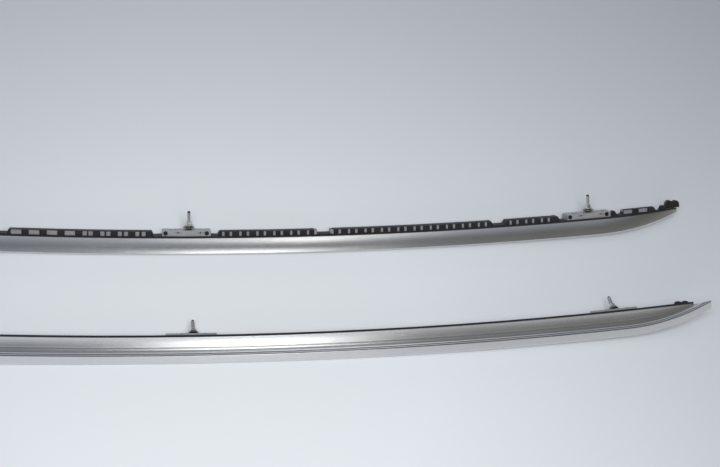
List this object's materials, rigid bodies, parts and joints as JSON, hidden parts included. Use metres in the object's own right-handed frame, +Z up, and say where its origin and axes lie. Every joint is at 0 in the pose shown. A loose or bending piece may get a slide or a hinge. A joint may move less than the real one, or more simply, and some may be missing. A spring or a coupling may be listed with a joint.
{
  "type": "roof side rail pair",
  "caption": "Pair of arched aluminium roof side rails with black castellated gaskets, cast brackets and upright threaded studs that bolt them flush to a car's roof.",
  "frame": {"origin": "centre of the bottom of the pair's bounding box, on the table that the rails lie on", "axes": "+X along the rails towards the car's front, +Y towards the left rail, +Z up from the table"},
  "size_m": [1.7056, 0.2992, 0.0583],
  "materials": {
    "aluminium": "satin anodised, lightly brushed along the rail",
    "gasket_rubber": "matte black rubber",
    "grey_core": "matte grey",
    "plug_rubber": "matte black rubber, slightly smoother than the gasket",
    "cast_bracket": "die cast, fine grain",
    "stud_steel": "zinc plated, threaded, darker dog point",
    "washer_steel": "zinc plated",
    "spring_steel": "dark oxide",
    "nut_steel": "bright zinc plated",
    "screw_steel": "black oxide"
  },
  "bodies": {
    "root": {"left_rail": "aluminium", "left_gasket": "gasket_rubber", "left_core_strips": "grey_core", "left_front_plug": "plug_rubber", "left_rear_plug": "plug_rubber", "left_front_bracket": "cast_bracket", "left_middle_bracket": "cast_bracket", "left_rear_bracket": "cast_bracket", "left_front_stud": "stud_steel", "left_middle_stud": "stud_steel", "left_rear_stud": "stud_steel", "left_washers": "washer_steel", "left_spring_washers": "spring_steel", "left_nuts": "nut_steel", "left_clamp_screws": "screw_steel", "right_rail": "aluminium", "right_gasket": "gasket_rubber", "right_core_strips": "grey_core", "right_front_plug": "plug_rubber", "right_rear_plug": "plug_rubber", "right_front_bracket": "cast_bracket", "right_middle_bracket": "cast_bracket", "right_rear_bracket": "cast_bracket", "right_front_stud": "stud_steel", "right_middle_stud": "stud_steel", "right_rear_stud": "stud_steel", "right_washers": "washer_steel", "right_spring_washers": "spring_steel", "right_nuts": "nut_steel", "right_clamp_screws": "screw_steel"}
  },
  "joints": []
}
